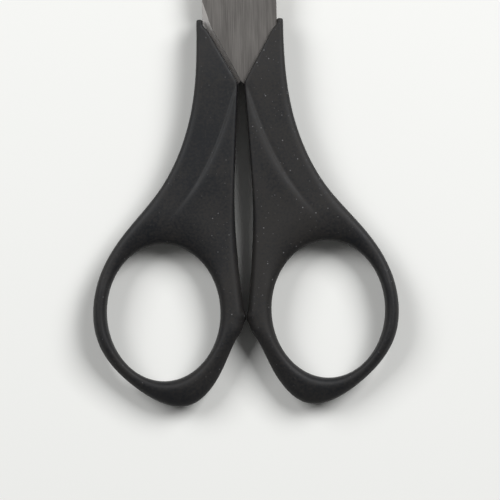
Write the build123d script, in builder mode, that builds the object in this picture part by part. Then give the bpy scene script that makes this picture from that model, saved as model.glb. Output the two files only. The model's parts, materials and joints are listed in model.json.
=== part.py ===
"""Thread snips: a small pair of ring-handled scissors, lying flat and closed.

Millimetres. X = Y = 0 is the pivot's axis, +Y runs to the blade points, +X to the right
handle and +Z up from the surface that the snips lie on. The two halves are one shape:
the left handle with its blade is the right one, turned half a turn about the Y direction.
"""

import os
from math import atan2, cos, degrees, radians, sin, tan

from build123d import *

# ---------------------------------------------------------------- driving dimensions
# Blades
blade_reach = 41.0  # pivot axis to the points
blade_half_width = 6.6  # at the pivot, where both long sides are parallel
blade_thickness = 1.6
ride_gap = 0.04  # between the two inner faces
point_width = 0.7  # blunt end of each blade
spine_start = 4.0  # the spine begins its curve here, in front of the axis
edge_start = 8.6  # the cutting edge begins here, in front of the axis
edge_inset = 1.4  # the cutting edge starts this far inside the blade's side
heel_length = 1.9  # slope between the blade's side and the cutting edge
bevel_width = 3.4  # ground face beside the cutting edge
edge_thickness = 0.45
point_thickness = 1.0
shoulder_back = 5.9  # the spine side turns inwards here, behind the axis
kink_back = 10.6  # and bends again here
kink_inset = 1.5
tail_inset = 0.15  # the blade's corner at the vee's bottom, past the mid-line
shoulder_radius = 0.8
same_line = 0.01  # corners this near to the blade's side stand on it

# Tangs, the blades' tails inside the handles
tang_length = 40.0  # axis to the tang's end
tang_width = 3.6
tang_end_flat = 0.2  # left straight across the rounded end
tang_cover = 1.25  # least plastic between the tang and the handle's inner edge
tang_root = 1.3  # the tang starts this far behind the vee's bottom
anchor_hole_radius = 0.9
anchor_hole_shares = (0.45, 0.82)  # along the tang, from its root to its end

# Handles
handle_thickness = 7.0  # through the raised panels
ring_thickness = 6.2  # through the rings and the outer bands
tip_back = 9.4  # handle tips behind the axis
tip_wall = 1.1  # the tip's width outside the steel
step_back = 11.3  # foot of the small step inside the tip
step_inset = 0.85
vee_back = 20.6  # bottom of the vee between the handles
vee_half_gap = 0.56
waist_back = 30.6
waist_half_width = 10.35
flare_back = 39.1
flare_half_width = 14.6
slit_half_gap = 1.62  # widest place of the slit between the handles
slit_widest_back = 43.5
slit_upper_half_gap = 1.12  # beside the waist
slit_lower_half_gap = 0.9
slit_lower_back = 56.0
tip_corner = 0.2
edge_round = 0.9  # round the loop and the outer side
round_share = 0.43  # of the thinnest wall, the most that its two rounds may take each
slit_round = 0.5
tip_thickness = 4.8
tip_slope_back = 21.5  # the faces fall towards the tips from here

# Finger loops
loop_back = 61.2  # centre of each loop behind the axis
loop_width = 20.2
loop_height = 24.4
inner_wall = 4.5  # ring's width beside the slit
stop_gap = 0.08  # between the two stops when the snips are closed
stop_length = 1.1
stop_height = 0.35
stop_drop = 0.5  # the stop starts this far behind the loop's centre
stop_lean = 0.25  # the ring leaves the stop at this slope
outer_wall = 2.4
flare_wall = 1.2  # extra width where the ring flares into the handle
side_thinning = 0.15  # the ring is thinnest low down, on the outer side
heel_wall = 5.05  # and heaviest low down, on the inner side
heel_taper = 1.3
stop_relief = 0.95
flare_angle = 58.0  # places round the loop, in degrees from +X
side_angle = 18.0
thin_angle = -62.0
heel_angle = -105.5
heel_side_angle = -134.0
stop_angle = -163.0

# Raised panel on each face of a handle
panel_margin = 1.0  # back from the slit's edge
panel_start_back = 24.0
panel_loop_wall = 1.8  # back from the loop's edge
crease_wall = 6.0  # the crease ends this far outside the loop
crease_bow = 7.0
crease_start_lean = 0.45  # slopes of the crease at its two ends
crease_end_lean = 0.8
crease_angle = 93.0  # places round the loop, in degrees from +X
panel_turn_angle = 115.0
panel_end_angle = 150.0
panel_chamfer = 0.3

# Pivot
shoulder_radius_of_screw = 1.8
running_clearance = 0.04
thread_radius = 1.5
head_radius = 3.3
head_height = 1.3
head_edge_round = 0.5
slot_width = 0.8
slot_depth = 0.65
slot_turn = 35.0
screw_end_chamfer = 0.15
spring_radius = 3.7  # the spring washer is a shallow cone under the head
spring_thickness = 0.25
spring_rise = 0.2
washer_clearance = 0.02
plain_washer_radius = 3.3
plain_washer_thickness = 0.3
nut_across_flats = 5.5
nut_cone_angle = 25.0

# ---------------------------------------------------------------- places that follow
mid_z = handle_thickness / 2
front_low_z = mid_z + ride_gap / 2
front_high_z = front_low_z + blade_thickness
rear_low_z = mid_z - ride_gap / 2 - blade_thickness
half_turn_axis = Axis((0, 0, mid_z), (0, 1, 0))
loop_rx = loop_width / 2
loop_ry = loop_height / 2
loop_x = stop_gap / 2 + inner_wall + loop_rx
loop_y = -loop_back
long_cut = 4 * blade_reach  # longer than any piece, for cuts that run through


def ring_point(angle, wall):
    """The point of the ring's outline that stands outside the loop by wall."""
    turn = radians(angle)
    return (loop_x + (loop_rx + wall) * cos(turn), loop_y + (loop_ry + wall) * sin(turn))


def half_turned(half):
    """The same piece for the other half of the snips."""
    return half.part.rotate(half_turn_axis, 180)


# ---------------------------------------------------------------- front blade and tang
edge_foot = (blade_half_width - edge_inset, edge_start)
edge_point = (point_width / 2, blade_reach)
tang_start = (vee_half_gap + tang_cover, -vee_back - tang_root)
tang_end_x = flare_half_width / 2 + slit_half_gap / 2 - tang_width / 2

with BuildPart() as front_blade:
    with BuildSketch(Plane.XY.offset(front_low_z)):
        with BuildLine():
            TangentArc(
                (-blade_half_width, spine_start),
                (-point_width / 2, blade_reach),
                tangent=(0, 1),
            )
            Polyline(
                (-point_width / 2, blade_reach),
                edge_point,
                edge_foot,
                (blade_half_width, edge_start - heel_length),
                (blade_half_width, -vee_back),
                (tang_end_x + tang_width, -tang_length),
                (tang_end_x, -tang_length),
                tang_start,
                (tail_inset, -vee_back),
                (-blade_half_width + kink_inset, -kink_back),
                (-blade_half_width, -shoulder_back),
                (-blade_half_width, spine_start),
            )
        make_face()
        sketch_corners = vertices()
        fillet(
            [
                corner
                for corner in sketch_corners
                if abs(corner.X + blade_half_width) < same_line and corner.Y < 0
            ],
            shoulder_radius,
        )
        fillet(vertices().group_by(Axis.Y)[0], (tang_width - tang_end_flat) / 2)
    extrude(amount=blade_thickness)

    # Ground bevel along the cutting edge, on the outer face
    edge_angle = degrees(atan2(edge_point[1] - edge_foot[1], edge_point[0] - edge_foot[0]))
    bevel_plane = Plane(
        origin=(*edge_foot, front_low_z),
        x_dir=(-sin(radians(edge_angle)), cos(radians(edge_angle)), 0),
        z_dir=(cos(radians(edge_angle)), sin(radians(edge_angle)), 0),
    )
    bevel_fall = (blade_thickness - edge_thickness) / bevel_width
    with BuildSketch(bevel_plane):
        with BuildLine():
            Polyline(
                (-bevel_width, edge_thickness - bevel_fall * bevel_width),
                (2 * bevel_width, edge_thickness + 2 * bevel_fall * bevel_width),
                (-bevel_width, edge_thickness + 2 * bevel_fall * bevel_width),
                close=True,
            )
        make_face()
    extrude(amount=long_cut, mode=Mode.SUBTRACT)

    # The outer face falls towards the point
    with BuildSketch(Plane.YZ):
        with BuildLine():
            Polyline(
                (edge_start, front_high_z),
                (blade_reach, front_low_z + point_thickness),
                (long_cut, front_low_z + point_thickness),
                (long_cut, front_high_z + blade_thickness),
                (edge_start, front_high_z + blade_thickness),
                close=True,
            )
        make_face()
    extrude(amount=long_cut, both=True, mode=Mode.SUBTRACT)

    # Bore for the screw's shoulder
    with Locations((0, 0, front_high_z)):
        Hole(shoulder_radius_of_screw + running_clearance)

    # Anchor holes that the handle's plastic flows through
    tang_root_middle = Vector((tang_start[0] + blade_half_width) / 2, tang_start[1])
    tang_end_middle = Vector(tang_end_x + tang_width / 2, -tang_length)
    with BuildSketch(Plane.XY.offset(front_low_z)):
        with Locations(
            *[
                tang_root_middle + (tang_end_middle - tang_root_middle) * share
                for share in anchor_hole_shares
            ]
        ):
            Circle(anchor_hole_radius)
    extrude(amount=blade_thickness, mode=Mode.SUBTRACT)

front_blade.part.label = "front_blade"

# ---------------------------------------------------------------- right handle
tip_outer_x = blade_half_width + tip_wall
vee_top_x = blade_half_width - step_inset
vee_bottom = (vee_half_gap, -vee_back)
tip_start = (tip_outer_x, -tip_back - tip_corner)
stop_top_y = loop_y - stop_drop
stop_low_y = stop_top_y - stop_length
stop_top = (stop_gap / 2 + stop_height, stop_top_y + stop_height)
stop_low = (stop_gap / 2 + stop_height, stop_low_y - stop_height)
thinnest_wall = outer_wall - side_thinning
rim_round = min(edge_round, round_share * thinnest_wall)

with BuildPart() as right_handle:
    with BuildSketch(Plane.XY.offset(mid_z)):
        with BuildLine():
            # Outer side, from the tip down round the ring to the stop
            Spline(
                tip_start,
                (waist_half_width, -waist_back),
                (flare_half_width, -flare_back),
                ring_point(flare_angle, outer_wall + flare_wall),
                ring_point(side_angle, outer_wall),
                ring_point(-side_angle, outer_wall),
                ring_point(thin_angle, thinnest_wall),
                ring_point(heel_angle, heel_wall),
                ring_point(heel_side_angle, heel_wall - heel_taper),
                ring_point(stop_angle, inner_wall - stop_relief),
                stop_low,
                tangents=((0, -1), (-stop_lean, 1)),
            )
            # Stop
            Polyline(
                stop_low,
                (stop_gap / 2, stop_low_y),
                (stop_gap / 2, stop_top_y),
                stop_top,
            )
            # Slit
            Spline(
                stop_top,
                (slit_lower_half_gap, -slit_lower_back),
                (slit_half_gap, -slit_widest_back),
                (slit_upper_half_gap, -waist_back),
                vee_bottom,
            )
            # Vee, step and tip
            Polyline(
                vee_bottom,
                (vee_top_x, -step_back),
                (blade_half_width, -step_back + step_inset),
                (blade_half_width, -tip_back),
                (tip_outer_x - tip_corner, -tip_back),
                tip_start,
            )
        make_face()
        with Locations((loop_x, loop_y)):
            Ellipse(loop_rx, loop_ry, mode=Mode.SUBTRACT)
    extrude(amount=ring_thickness / 2, both=True)
    rims = right_handle.faces().filter_by(Axis.Z).edges()
    long_rims = rims.filter_by(lambda rim: rim.length > loop_width)
    slit_rims = long_rims.filter_by(lambda rim: rim.center().X < inner_wall)
    fillet(slit_rims, slit_round)
    rims = right_handle.faces().filter_by(Axis.Z).edges()
    long_rims = rims.filter_by(lambda rim: rim.length > loop_width)
    outer_rims = long_rims.filter_by(lambda rim: rim.center().X > inner_wall)
    fillet(outer_rims, rim_round)

    # The two faces fall towards the tip
    for side in (1, -1):
        with BuildSketch(Plane.YZ):
            with BuildLine():
                Polyline(
                    (-tip_slope_back, mid_z + side * ring_thickness / 2),
                    (-tip_back, mid_z + side * tip_thickness / 2),
                    (0, mid_z + side * tip_thickness / 2),
                    (0, mid_z + side * handle_thickness),
                    (-tip_slope_back, mid_z + side * handle_thickness),
                    close=True,
                )
            make_face()
        extrude(amount=long_cut, mode=Mode.SUBTRACT)

    # Raised panel between the slit, the crease and the loop
    with BuildSketch(Plane.XY.offset(mid_z)):
        with BuildLine():
            panel_top = (vee_half_gap + panel_margin, -panel_start_back)
            crease_foot = ring_point(crease_angle, crease_wall)
            loop_side = ring_point(panel_end_angle, panel_loop_wall)
            Spline(
                panel_top,
                (flare_half_width - crease_bow, -waist_back - crease_bow),
                crease_foot,
                tangents=((crease_start_lean, -1), (1, -crease_end_lean)),
            )
            Spline(crease_foot, ring_point(panel_turn_angle, panel_loop_wall), loop_side)
            Polyline(loop_side, (slit_half_gap + panel_margin, -slit_widest_back), panel_top)
        make_face()
    extrude(amount=handle_thickness / 2, both=True)
    panel_faces = right_handle.faces().filter_by(Axis.Z).group_by(Axis.Z)
    chamfer(panel_faces[0].edges() + panel_faces[-1].edges(), panel_chamfer)

    # The plastic is moulded round the steel
    add(front_blade.part, mode=Mode.SUBTRACT)

right_handle.part.label = "right_handle"

# ---------------------------------------------------------------- the other half
with BuildPart() as rear_blade:
    add(half_turned(front_blade))
    # Tapped bore for the screw's thread, smaller than the front blade's bore
    with BuildSketch(Plane.XY.offset(rear_low_z)):
        Circle(shoulder_radius_of_screw + 2 * running_clearance)
        Circle(thread_radius, mode=Mode.SUBTRACT)
    extrude(amount=blade_thickness)
rear_blade.part.label = "rear_blade"

with BuildPart() as left_handle:
    add(half_turned(right_handle))
left_handle.part.label = "left_handle"

# ---------------------------------------------------------------- pivot
# The screw's shoulder seats on the rear blade, whose bore is smaller, and the nut locks it
head_low_z = front_high_z + spring_rise + spring_thickness
nut_high_z = rear_low_z - plain_washer_thickness

with BuildPart() as pivot_screw:
    with BuildSketch(Plane.XY.offset(head_low_z)):
        Circle(head_radius)
    extrude(amount=head_height)
    fillet(pivot_screw.edges().group_by(Axis.Z)[-1], head_edge_round)
    with BuildSketch(Plane.XY.offset(front_low_z - ride_gap)):
        Circle(shoulder_radius_of_screw)
    extrude(amount=head_low_z - front_low_z + ride_gap)
    with BuildSketch(Plane.XY):
        Circle(thread_radius)
    extrude(amount=front_low_z)
    chamfer(pivot_screw.edges().group_by(Axis.Z)[0], screw_end_chamfer)
    with BuildSketch(Plane.XY.offset(head_low_z + head_height)):
        Rectangle(3 * head_radius, slot_width, rotation=slot_turn)
    extrude(amount=-slot_depth, mode=Mode.SUBTRACT)
pivot_screw.part.label = "pivot_screw"

with BuildPart() as spring_washer:
    with BuildSketch(Plane.XZ):
        with BuildLine():
            Polyline(
                (spring_radius, front_high_z + washer_clearance),
                (spring_radius, front_high_z + washer_clearance + spring_thickness),
                (shoulder_radius_of_screw + running_clearance, head_low_z),
                (shoulder_radius_of_screw + running_clearance, head_low_z - spring_thickness),
                close=True,
            )
        make_face()
    revolve(axis=Axis.Z)
spring_washer.part.label = "spring_washer"

with BuildPart() as plain_washer:
    with BuildSketch(Plane.XY.offset(nut_high_z)):
        Circle(plain_washer_radius)
        Circle(thread_radius + running_clearance, mode=Mode.SUBTRACT)
    extrude(amount=plain_washer_thickness)
plain_washer.part.label = "plain_washer"

with BuildPart() as pivot_nut:
    with BuildSketch():
        RegularPolygon(nut_across_flats / 2, 6, major_radius=False)
    extrude(amount=nut_high_z)
    # Corners turned down to a cone on the outer face
    with BuildSketch(Plane.XZ):
        with BuildLine():
            Polyline(
                (nut_across_flats / 2, 0),
                (nut_across_flats, nut_across_flats / 2 * tan(radians(nut_cone_angle))),
                (nut_across_flats, 0),
                close=True,
            )
        make_face()
    revolve(axis=Axis.Z, mode=Mode.SUBTRACT)
    with BuildSketch():
        Circle(thread_radius)
    extrude(amount=nut_high_z, mode=Mode.SUBTRACT)
pivot_nut.part.label = "pivot_nut"

# ---------------------------------------------------------------- files
os.makedirs("parts", exist_ok=True)
pieces = (
    front_blade,
    rear_blade,
    right_handle,
    left_handle,
    pivot_screw,
    spring_washer,
    plain_washer,
    pivot_nut,
)
for piece in pieces:
    export_step(piece.part, f"parts/{piece.part.label}.step")
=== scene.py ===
import json
from math import radians

import bmesh
import bpy
import numpy as np
from mathutils import Matrix, Vector


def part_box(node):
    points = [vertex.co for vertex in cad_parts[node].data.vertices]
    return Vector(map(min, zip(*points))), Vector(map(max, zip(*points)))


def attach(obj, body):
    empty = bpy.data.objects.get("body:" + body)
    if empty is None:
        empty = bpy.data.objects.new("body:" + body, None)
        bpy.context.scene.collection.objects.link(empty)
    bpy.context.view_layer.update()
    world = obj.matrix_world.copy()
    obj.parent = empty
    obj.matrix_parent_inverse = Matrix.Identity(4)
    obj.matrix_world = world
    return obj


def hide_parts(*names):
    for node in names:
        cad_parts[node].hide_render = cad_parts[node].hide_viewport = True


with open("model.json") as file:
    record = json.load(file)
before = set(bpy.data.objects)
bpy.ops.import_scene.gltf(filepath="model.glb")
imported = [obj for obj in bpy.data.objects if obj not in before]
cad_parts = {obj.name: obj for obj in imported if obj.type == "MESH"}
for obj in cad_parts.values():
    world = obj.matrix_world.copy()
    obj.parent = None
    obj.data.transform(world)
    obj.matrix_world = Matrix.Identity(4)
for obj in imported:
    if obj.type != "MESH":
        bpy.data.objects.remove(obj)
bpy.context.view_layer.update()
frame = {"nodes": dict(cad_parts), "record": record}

# The snips lie on a plain pale table and are looked at from straight above. The view is close,
# so the points and the pivot run off its top edge, and it is turned a little off square. The
# light comes from a softbox on each side, the stronger on the right, with little from above.
MM = 0.001
view_centre = Vector((0.95, -50.4, 6.0)) * MM
view_width = 88.5 * MM
view_height = 0.62
view_turn = radians(-1.27)
table_half_size = 1.5
table_colour = (0.87, 0.875, 0.855)
table_roughness = 0.9
softbox_size = 0.5
sky_colour = (1.0, 0.995, 0.985)
sky_strength = 0.10

camera_data = bpy.data.cameras.new("camera")
camera_data.sensor_width = 36.0
camera_data.lens = camera_data.sensor_width * view_height / view_width
camera_data.clip_start = 0.01
camera = bpy.data.objects.new("camera", camera_data)
bpy.context.scene.collection.objects.link(camera)
camera.location = view_centre + Vector((0, 0, view_height))
camera.rotation_euler = (0, 0, view_turn)
bpy.context.scene.camera = camera
bpy.context.scene.view_settings.view_transform = "Standard"


def softbox(name, place, power):
    """A square studio light that faces the middle of the view."""
    lamp = bpy.data.lights.new(name, "AREA")
    lamp.shape = "SQUARE"
    lamp.size = softbox_size
    lamp.energy = power
    light = bpy.data.objects.new(name, lamp)
    bpy.context.scene.collection.objects.link(light)
    light.location = place
    light.rotation_euler = (light.location - view_centre).to_track_quat("Z", "Y").to_euler()


softbox("right_softbox", (0.53, 0.40, 0.70), 8.2)
softbox("left_softbox", (-0.56, 0.37, 0.66), 5.2)
world = bpy.data.worlds.new("studio")
world.use_nodes = True
sky = world.node_tree.nodes["Background"]
sky.inputs["Color"].default_value = (*sky_colour, 1)
sky.inputs["Strength"].default_value = sky_strength
bpy.context.scene.world = world


def object_from(bm, name, *materials):
    """A new scene object that holds this bmesh."""
    mesh = bpy.data.meshes.new(name)
    bm.to_mesh(mesh)
    bm.free()
    for material in materials:
        mesh.materials.append(material)
    piece = bpy.data.objects.new(name, mesh)
    bpy.context.scene.collection.objects.link(piece)
    return piece


def new_material(name, colour, roughness, metallic=0.0):
    """A material with its plain values on the shader's own sockets."""
    material = bpy.data.materials.new(name)
    material.use_nodes = True
    shader = material.node_tree.nodes["Principled BSDF"]
    shader.inputs["Base Color"].default_value = (*colour, 1)
    shader.inputs["Roughness"].default_value = roughness
    shader.inputs["Metallic"].default_value = metallic
    return material, shader


table_mesh = bmesh.new()
bmesh.ops.create_grid(table_mesh, x_segments=2, y_segments=2, size=table_half_size)
table_material, _ = new_material("table", table_colour, table_roughness)
table = object_from(table_mesh, "table", table_material)

# The blades are stamped from hardened stainless sheet and ground. Their outer faces keep fine
# lengthwise brush marks, and the cutting bevels are ground across. The two inner faces that slide
# on each other are ground finer. Their colour is painted lighter than the outer faces', partly a real
# finer finish and partly painted highlight. Ahead of the handles it is painted near white, a painted
# highlight for the light they catch by the pivot. Their tangs go into the handles.
steel_dark = (0.29, 0.275, 0.262)
steel_light = (0.43, 0.408, 0.389)
# The inner faces' colours are painted lighter than the outer faces': partly a finer finish, partly painted
# highlight.
inner_dark = (0.56, 0.53, 0.51)
inner_light = (0.74, 0.71, 0.69)
# Painted highlight: the near-white colour the inner faces take ahead of the handles.
painted_highlight_colour = (0.90, 0.88, 0.86)
satin_roughness = 0.56
painted_highlight_and_satin_back_y = -11.2
painted_highlight_and_satin_border = 0.15
level_from = 0.985
slope_from = 0.955
slope_roughness = 0.12
slope_mark_height = 0.4
streak_share = 0.62
slope_streak_share = 0.3
streak_span = (0.3, 0.7)
share_span = (0.45, 1.1)
rough_span = (0.4, 1.1)
mark_strength = 0.6
edge_ease = 0.07
merge_distance = 0.0005
flat_within = 0.4
sharpest_flat = 25
shaded_sharp = 40
facing_inward = 0.99


def add_node(material, kind, **values):
    """A node in the material: inputs by name, and settings by name."""
    node = material.node_tree.nodes.new("ShaderNode" + kind)
    for name, value in values.items():
        if name in node.inputs:
            node.inputs[name].default_value = value
        else:
            setattr(node, name, value)
    return node


def object_noise(material, scale, detail=3.0, roughness=0.55):
    """Noise on Object coordinates, with its own scale along X, Y and Z, in turns per metre."""
    place = add_node(material, "TexCoord")
    stretch = add_node(material, "Mapping", Scale=scale)
    noise = add_node(material, "TexNoise", Scale=1.0, Detail=detail, Roughness=roughness)
    material.node_tree.links.new(place.outputs["Object"], stretch.inputs["Vector"])
    material.node_tree.links.new(stretch.outputs["Vector"], noise.inputs["Vector"])
    return noise.outputs["Fac"]


def ranged(material, source, low, high, new_low, new_high):
    """The source's values from low to high, moved to the new range and held inside it."""
    node = add_node(material, "MapRange")
    for name, value in (("From Min", low), ("From Max", high), ("To Min", new_low), ("To Max", new_high)):
        node.inputs[name].default_value = value
    material.node_tree.links.new(source, node.inputs["Value"])
    return node.outputs["Result"]


def colour_between(material, share, first, second):
    """A colour that runs from the first to the second as the share goes from 0 to 1."""
    node = add_node(material, "Mix", data_type="RGBA")
    links = material.node_tree.links
    links.new(share, node.inputs["Factor"])
    for socket, colour in (("A", first), ("B", second)):
        target = [s for s in node.inputs if s.name == socket and s.type == "RGBA"][0]
        if isinstance(colour, tuple):
            target.default_value = (*colour, 1)
        else:
            links.new(colour, target)
    return [s for s in node.outputs if s.type == "RGBA"][0]


def combined(material, first, second, operation):
    """Two values put together by one arithmetic operation."""
    node = add_node(material, "Math", operation=operation)
    for socket, value in zip(node.inputs, (first, second)):
        if isinstance(value, float):
            socket.default_value = value
        else:
            material.node_tree.links.new(value, socket)
    return node.outputs["Value"]


def bumped(material, shader, height, depth, strength):
    """Raises the surface by the height's values, to the depth in metres."""
    bump = add_node(material, "Bump", Strength=strength, Distance=depth)
    material.node_tree.links.new(height, bump.inputs["Height"])
    material.node_tree.links.new(bump.outputs["Normal"], shader.inputs["Normal"])


def blade_steel(name, dark, light, smoothest, roughest, mark_depth, painted_highlight_and_satin_share):
    """Brushed steel: long streaks, marks across the bevels, and ahead of the handles a rougher satin finish
    with a near-white painted highlight.
    """
    material, shader = new_material(name, light, roughest, 1.0)
    links = material.node_tree.links
    along = object_noise(material, (6500, 150, 6500), 4.0, 0.6)
    across = object_noise(material, (220, 7000, 220), 4.0, 0.6)
    tone = object_noise(material, (420, 90, 420), 2.0)
    upward = add_node(material, "SeparateXYZ")
    place = add_node(material, "TexCoord")
    links.new(place.outputs["Normal"], upward.inputs["Vector"])
    level = combined(material, upward.outputs["Z"], 0.0, "ABSOLUTE")
    slope = ranged(material, level, level_from, slope_from, 0.0, 1.0)
    marks = add_node(material, "Mix", data_type="FLOAT")
    links.new(slope, marks.inputs[0])
    links.new(along, marks.inputs[2])
    links.new(across, marks.inputs[3])
    streaks = ranged(material, marks.outputs[0], *streak_span, 0.0, 1.0)
    strength = ranged(material, slope, 0.0, 1.0, streak_share, slope_streak_share)
    share = combined(material, combined(material, streaks, strength, "MULTIPLY"), tone, "ADD")
    position = add_node(material, "SeparateXYZ")
    links.new(place.outputs["Object"], position.inputs["Vector"])
    # Ahead of the handles the colour is mixed toward near white, a painted highlight, and the finish turns
    # a rougher satin.
    front, back = (painted_highlight_and_satin_back_y + painted_highlight_and_satin_border) * MM, (painted_highlight_and_satin_back_y - painted_highlight_and_satin_border) * MM
    painted_highlight_and_satin_ahead = ranged(material, position.outputs["Y"], back, front, 0.0, painted_highlight_and_satin_share)
    brushed = colour_between(material, ranged(material, share, *share_span, 0.0, 1.0), dark, light)
    links.new(colour_between(material, painted_highlight_and_satin_ahead, brushed, painted_highlight_colour), shader.inputs["Base Color"])
    rough = ranged(material, share, *rough_span, smoothest, roughest)
    rough = combined(material, rough, combined(material, slope, slope_roughness, "MULTIPLY"), "ADD")
    rough_mix = add_node(material, "Mix", data_type="FLOAT")
    links.new(painted_highlight_and_satin_ahead, rough_mix.inputs[0])
    links.new(rough, rough_mix.inputs[2])
    rough_mix.inputs[3].default_value = satin_roughness
    links.new(rough_mix.outputs[0], shader.inputs["Roughness"])
    held_back = ranged(material, slope, 0.0, 1.0, 1.0, slope_mark_height)
    marks_height = combined(material, streaks, held_back, "MULTIPLY")
    bumped(material, shader, marks_height, mark_depth * MM, mark_strength)
    return material


def eased_copy(node, name, *materials, ease=edge_ease):
    """The CAD node's shape as one merged mesh, with its sharp edges broken a little."""
    bm = bmesh.new()
    bm.from_mesh(frame["nodes"][node].data)
    bmesh.ops.remove_doubles(bm, verts=bm.verts[:], dist=merge_distance * MM)
    bmesh.ops.dissolve_limit(
        bm, angle_limit=radians(flat_within), verts=bm.verts[:], edges=bm.edges[:]
    )
    folded = [edge for edge in bm.edges if edge.is_manifold]
    sharp = [edge for edge in folded if edge.calc_face_angle() > radians(sharpest_flat)]
    bmesh.ops.bevel(
        bm,
        geom=sharp,
        offset=ease * MM,
        offset_type="OFFSET",
        segments=2,
        profile=0.5,
        affect="EDGES",
        clamp_overlap=True,
        material=-1,
    )
    bmesh.ops.recalc_face_normals(bm, faces=bm.faces[:])
    for face in bm.faces:
        face.smooth = True
    piece = object_from(bm, name, *materials)
    piece.data.set_sharp_from_angle(angle=radians(shaded_sharp))
    weighted = piece.modifiers.new("flat faces stay flat", "WEIGHTED_NORMAL")
    weighted.keep_sharp = True
    return piece


outer_steel = blade_steel("blade_steel", steel_dark, steel_light, 0.32, 0.35, 0.003, 0.0)
# The inner faces get the lighter, partly painted colours and the near-white painted highlight ahead of the
# handles.
inner_steel = blade_steel("inner_steel", inner_dark, inner_light, 0.39, 0.43, 0.002, 0.75)
for node, body, inner_way in (("front_blade", "front_half", -1), ("rear_blade", "rear_half", 1)):
    blade = eased_copy(node, "ground_" + node, outer_steel, inner_steel)
    for face in blade.data.polygons:
        face.material_index = 1 if face.normal.z * inner_way > facing_inward else 0
    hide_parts(node)
    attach(blade, body)

# Each handle is one piece of black plastic, moulded round its blade's tang: a finger loop of
# round section and a shank. The shank's inner panel stands a little proud, and its rounded
# shoulder ends in a fine crease. The mould's halves meet in a faint line round the middle.
grip_black = (0.0060, 0.0070, 0.0092)
grip_worn = (0.0188, 0.0172, 0.0162)
dust_colour = (0.15, 0.15, 0.155)
grip_roughness = (0.52, 0.66)
grip_specular = 0.35
grain_depth, grain_strength = 0.012, 0.7
mould_line_top, mould_line_side, mould_line_height = 0.02, 0.14, 6.0
loop_low, loop_high = (
    Vector(corner) / MM
    for corner in next(
        opening["box_m"]
        for opening in frame["record"]["physics"]["openings"]
        if opening["name"] == "right_finger_loop"
    )
)
handle_low, handle_high = (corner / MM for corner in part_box("right_handle"))
mid_z = (handle_low.z + handle_high.z) / 2
loop_centre = (loop_low + loop_high) / 2

ring_half_height = 3.08
tip_drop = 0.7
tip_drop_over = (9.0, 21.0)
heel_drop = 0.35
heel_drop_over = (66.0, 78.0)

panel_rise = 0.38
panel_dip = 0.25
panel_dip_over = (1.2, 4.0)
shoulder_width = 1.4
shoulder_power = 1.6
groove_depth = 0.16
groove_width = 0.25
groove_offset = 0.1

vee_bottom_y = -20.6
crease_begins = (20.4, 22.5)
crease_ends_y = (-48.0, -35.0)
crease_length = 20.9
crease_lag = 0.6
crease_start_x = 1.0
crease_lean = 6.6
crease_bend = 3.4
crease_most = 1.25

tip_rounding = 0.6
shank_rounding = 1.5
ring_rounding = 2.4
heel_rounding = 5.5
loop_rounding = 1.9
loop_top_rounding = 6.0
slit_rounding = 0.45
ring_slit_rounding = 1.35
vee_rounding = 0.35
shank_over = (12.0, 26.0)
ring_over = (36.0, 52.0)
heel_over = (64.0, 74.0)
loop_top_over = (0.3, 0.95)
shank_straight, ring_less_straight, heel_less_straight = 0.66, 0.34, 0.12
shank_power, heel_less_power = 2.3, 0.5
loop_straight, loop_power, loop_top_less_power = 0.3, 2.2, 0.2
slit_straight, ring_slit_less_straight = 0.82, 0.4
vee_straight = 0.86
circle_power = 2.0

vee_side_x = 7.5
slit_side_x = 2.2
stop_below_loop = 1.7
plan_cut_below = 0.2
no_length = 1e-12
first_voxel = 0.22
second_voxel = 0.2
softening_turns = 4
softening_share = 0.5
crisp_ahead_y = -13.0


def handle_plan():
    """The right handle's outline, cut through its solid plastic just under the tang."""
    bm = bmesh.new()
    bm.from_mesh(frame["nodes"]["right_handle"].data)
    bmesh.ops.remove_doubles(bm, verts=bm.verts[:], dist=merge_distance * MM)
    bmesh.ops.bisect_plane(
        bm,
        geom=bm.verts[:] + bm.edges[:] + bm.faces[:],
        plane_co=(0, 0, (mid_z - plan_cut_below) * MM),
        plane_no=(0, 0, 1),
        clear_inner=True,
        clear_outer=True,
    )
    return bm


def outline_runs(bm):
    """The outline's edges as arrays of end points, in millimetres, one array for each side."""
    nearest = min(bm.verts, key=lambda vert: (vert.co / MM - loop_centre).to_2d().length)
    loop_edges, ends = set(), [nearest]
    while ends:
        vert = ends.pop()
        for edge in vert.link_edges:
            if edge not in loop_edges:
                loop_edges.add(edge)
                ends.append(edge.other_vert(vert))
    runs = {"loop": [], "vee": [], "slit": [], "outer": []}
    for edge in bm.edges:
        start, end = (vert.co / MM for vert in edge.verts)
        middle = (start + end) / 2
        if edge in loop_edges:
            side = "loop"
        elif middle.y > vee_bottom_y and middle.x < vee_side_x:
            side = "vee"
        elif middle.x < slit_side_x and middle.y > loop_centre.y - stop_below_loop:
            side = "slit"
        else:
            side = "outer"
        runs[side].append((start.x, start.y, end.x, end.y))
    return {side: np.array(edges) for side, edges in runs.items()}


def distance_to(run, x, y):
    """How far each point lies from the nearest edge of this run, in plan."""
    nearest = np.full(x.shape, np.inf)
    for x0, y0, x1, y1 in run:
        dx, dy = x1 - x0, y1 - y0
        along = np.clip(((x - x0) * dx + (y - y0) * dy) / (dx * dx + dy * dy + no_length), 0, 1)
        nearest = np.minimum(nearest, np.hypot(x - x0 - along * dx, y - y0 - along * dy))
    return nearest


def rounded(distance, radius, power):
    """0 at the edge, rising like a round to 1 one radius inside it."""
    inward = 1 - np.clip(distance / radius, 0, 1)
    return (1 - inward**power) ** (1 / power)


def smooth_step(value, start, end):
    """0 before start, 1 after end, eased between them."""
    t = np.clip((value - start) / (end - start), 0, 1)
    return t * t * (3 - 2 * t)


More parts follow.
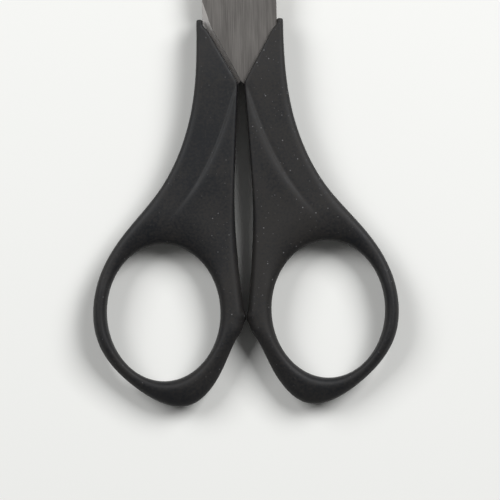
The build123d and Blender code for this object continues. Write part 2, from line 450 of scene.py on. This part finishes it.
def crease_offset(x, y):
    """How far each point lies outside the crease, which starts at the vee's bottom."""
    down = (vee_bottom_y - crease_lag - y) / crease_length
    bent = np.clip(down, 0, crease_most)
    crease_x = crease_start_x + crease_lean * down + crease_bend * bent**3
    slope = (crease_lean + 3 * crease_bend * bent**2) / crease_length
    return (x - crease_x) / np.hypot(1, slope)


def remeshed(piece, voxel):
    """The piece's mesh rebuilt from even faces."""
    remesh = piece.modifiers.new("remesh", "REMESH")
    remesh.mode = "VOXEL"
    remesh.voxel_size = voxel * MM
    seen = piece.evaluated_get(bpy.context.evaluated_depsgraph_get())
    mesh = bpy.data.meshes.new_from_object(seen)
    piece.modifiers.clear()
    old = piece.data
    piece.data = mesh
    bpy.data.meshes.remove(old)


def section_height(x, y, runs):
    """Half the handle's thickness over each point of its plan. Behind the pivot, y is negative."""
    height = ring_half_height * np.ones_like(x)
    offset = crease_offset(x, y)
    fade = smooth_step(y, *crease_ends_y) * smooth_step(-y, *crease_begins)
    shoulder = rounded(-offset, shoulder_width, shoulder_power) * (offset < 0)
    height += panel_rise * fade * shoulder
    height -= panel_dip * panel_rise * fade * smooth_step(-offset, *panel_dip_over)
    height -= groove_depth * fade * np.exp(-(((offset - groove_offset) / groove_width) ** 2))
    height -= tip_drop * (1 - smooth_step(-y, *tip_drop_over))
    height -= heel_drop * smooth_step(-y, *heel_drop_over)
    from_loop = np.hypot(x - loop_centre.x, y - loop_centre.y)
    over_loop = smooth_step((y - loop_centre.y) / from_loop, *loop_top_over)
    ringness = smooth_step(-y, *ring_over)
    heelness = smooth_step(-y, *heel_over)
    outer_round = tip_rounding + (shank_rounding - tip_rounding) * smooth_step(-y, *shank_over)
    outer_round += (ring_rounding - shank_rounding) * ringness
    outer_round += (heel_rounding - ring_rounding) * heelness
    loop_round = loop_rounding + (loop_top_rounding - loop_rounding) * over_loop
    slit_round = slit_rounding + (ring_slit_rounding - slit_rounding) * ringness
    outer_straight = shank_straight - ring_less_straight * ringness - heel_less_straight * heelness
    for side, radius, straight, power in (
        ("outer", outer_round, outer_straight, shank_power - heel_less_power * heelness),
        ("loop", loop_round, loop_straight, loop_power - loop_top_less_power * over_loop),
        ("slit", slit_round, slit_straight - ring_slit_less_straight * ringness, circle_power),
        ("vee", vee_rounding, vee_straight, circle_power),
    ):
        height *= straight + (1 - straight) * rounded(distance_to(runs[side], x, y), radius, power)
    return height


def moulded_handle():
    """The right handle, with the plan of its CAD node and a moulded section."""
    bm = handle_plan()
    runs = outline_runs(bm)
    bmesh.ops.triangle_fill(bm, use_beauty=True, use_dissolve=False, edges=bm.edges[:])
    wall = bmesh.ops.extrude_face_region(bm, geom=bm.faces[:])
    raised = [vert for vert in wall["geom"] if isinstance(vert, bmesh.types.BMVert)]
    bmesh.ops.translate(bm, verts=raised, vec=(0, 0, 2 * ring_half_height * MM))
    bmesh.ops.translate(bm, verts=bm.verts[:], vec=(0, 0, (plan_cut_below - ring_half_height) * MM))
    bmesh.ops.recalc_face_normals(bm, faces=bm.faces[:])
    handle = object_from(bm, "moulded_right_handle")
    remeshed(handle, first_voxel)
    points = np.empty(len(handle.data.vertices) * 3)
    handle.data.vertices.foreach_get("co", points)
    points = points.reshape(-1, 3) / MM
    height = section_height(points[:, 0], points[:, 1], runs)
    points[:, 2] = mid_z + (points[:, 2] - mid_z) * height / ring_half_height
    handle.data.vertices.foreach_set("co", (points * MM).ravel())
    remeshed(handle, second_voxel)
    bm = bmesh.new()
    bm.from_mesh(handle.data)
    for _ in range(softening_turns):
        softened = [vert for vert in bm.verts if vert.co.y < crisp_ahead_y * MM]
        bmesh.ops.smooth_vert(
            bm, verts=softened, factor=softening_share, use_axis_x=True, use_axis_y=True, use_axis_z=True
        )
    for face in bm.faces:
        face.smooth = True
    bm.to_mesh(handle.data)
    bm.free()
    return handle


grip_material, grip_shader = new_material("grip_plastic", grip_black, 0.58)
grip_links = grip_material.node_tree.links
grain = object_noise(grip_material, (5200, 5200, 5200), 2.0)
smudges = object_noise(grip_material, (85, 60, 85), 3.0)
speckle = object_noise(grip_material, (2400, 2400, 2400), 3.0, 0.6)
grip_place = add_node(grip_material, "TexCoord")
large_specks = add_node(grip_material, "TexVoronoi", Scale=620.0)
small_specks = add_node(grip_material, "TexVoronoi", Scale=1150.0)
grip_links.new(grip_place.outputs["Object"], large_specks.inputs["Vector"])
grip_links.new(grip_place.outputs["Object"], small_specks.inputs["Vector"])
dust = combined(
    grip_material,
    ranged(grip_material, large_specks.outputs["Distance"], 0.045, 0.085, 1.0, 0.0),
    ranged(grip_material, small_specks.outputs["Distance"], 0.05, 0.11, 0.5, 0.0),
    "ADD",
)
dusty = combined(grip_material, dust, ranged(grip_material, smudges, 0.42, 0.6, 0.15, 1.0), "MULTIPLY")
worn = ranged(grip_material, combined(grip_material, smudges, speckle, "ADD"), 0.8, 1.2, 0.0, 1.0)
grip_tone = colour_between(grip_material, worn, grip_black, grip_worn)
grip_links.new(
    colour_between(grip_material, dusty, grip_tone, dust_colour), grip_shader.inputs["Base Color"]
)
grip_links.new(
    ranged(grip_material, worn, 0.0, 1.0, *grip_roughness), grip_shader.inputs["Roughness"]
)
grip_shader.inputs["Specular IOR Level"].default_value = grip_specular
grip_depth = add_node(grip_material, "SeparateXYZ")
grip_links.new(grip_place.outputs["Object"], grip_depth.inputs["Vector"])
from_middle = combined(
    grip_material,
    combined(grip_material, grip_depth.outputs["Z"], mid_z * MM, "SUBTRACT"),
    0.0,
    "ABSOLUTE",
)
mould_line = ranged(
    grip_material, from_middle, mould_line_top * MM, mould_line_side * MM, mould_line_height, 0.0
)
grip_height = combined(grip_material, grain, mould_line, "ADD")
bumped(grip_material, grip_shader, grip_height, grain_depth * MM, grain_strength)

right_grip = moulded_handle()
half_turn = (
    Matrix.Translation((0, 0, mid_z * MM))
    @ Matrix.Rotation(radians(180), 4, "Y")
    @ Matrix.Translation((0, 0, -mid_z * MM))
)
left_grip = bpy.data.objects.new("moulded_left_handle", right_grip.data.copy())
bpy.context.scene.collection.objects.link(left_grip)
left_grip.data.transform(half_turn)
for grip, node, body in (
    (right_grip, "right_handle", "front_half"),
    (left_grip, "left_handle", "rear_half"),
):
    grip.data.materials.clear()
    grip.data.materials.append(grip_material)
    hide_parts(node)
    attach(grip, body)

# The pivot is a shoulder screw of turned steel, with a spring washer under its head and a
# plain washer and a lock nut behind the rear blade. All are bright plated, with fine rings
# from the lathe on the head and the washers.
plated_dark = (0.52, 0.51, 0.50)
plated_light = (0.72, 0.71, 0.69)
plated_span = (0.4, 1.0)
plated_roughness = (0.36, 0.22)
ring_mark_depth, ring_mark_strength = 0.003, 0.6
plated, plated_shader = new_material("pivot_steel", plated_light, 0.3, 1.0)
plated_place = add_node(plated, "TexCoord")
from_axis = add_node(plated, "Mapping", Scale=(1.0, 1.0, 0.0))
radius = add_node(plated, "VectorMath", operation="LENGTH")
rings = add_node(plated, "TexNoise", noise_dimensions="1D", Scale=9000.0, Detail=4.0)
plated.node_tree.links.new(plated_place.outputs["Object"], from_axis.inputs["Vector"])
plated.node_tree.links.new(from_axis.outputs["Vector"], radius.inputs["Vector"])
plated.node_tree.links.new(radius.outputs["Value"], rings.inputs["W"])
ring_share = ranged(plated, rings.outputs["Fac"], 0.35, 0.65, 0.0, 1.0)
tarnish = object_noise(plated, (900, 900, 900), 3.0)
plated_share = combined(plated, combined(plated, ring_share, 0.5, "MULTIPLY"), tarnish, "ADD")
plated.node_tree.links.new(
    colour_between(plated, ranged(plated, plated_share, *plated_span, 0.0, 1.0), plated_dark, plated_light),
    plated_shader.inputs["Base Color"],
)
plated.node_tree.links.new(
    ranged(plated, plated_share, *plated_span, *plated_roughness), plated_shader.inputs["Roughness"]
)
bumped(plated, plated_shader, ring_share, ring_mark_depth * MM, ring_mark_strength)
for node, ease in (
    ("pivot_screw", 0.08),
    ("spring_washer", 0.04),
    ("plain_washer", 0.05),
    ("pivot_nut", 0.08),
):
    turned = eased_copy(node, "turned_" + node, plated, ease=ease)
    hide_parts(node)
    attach(turned, "rear_half")
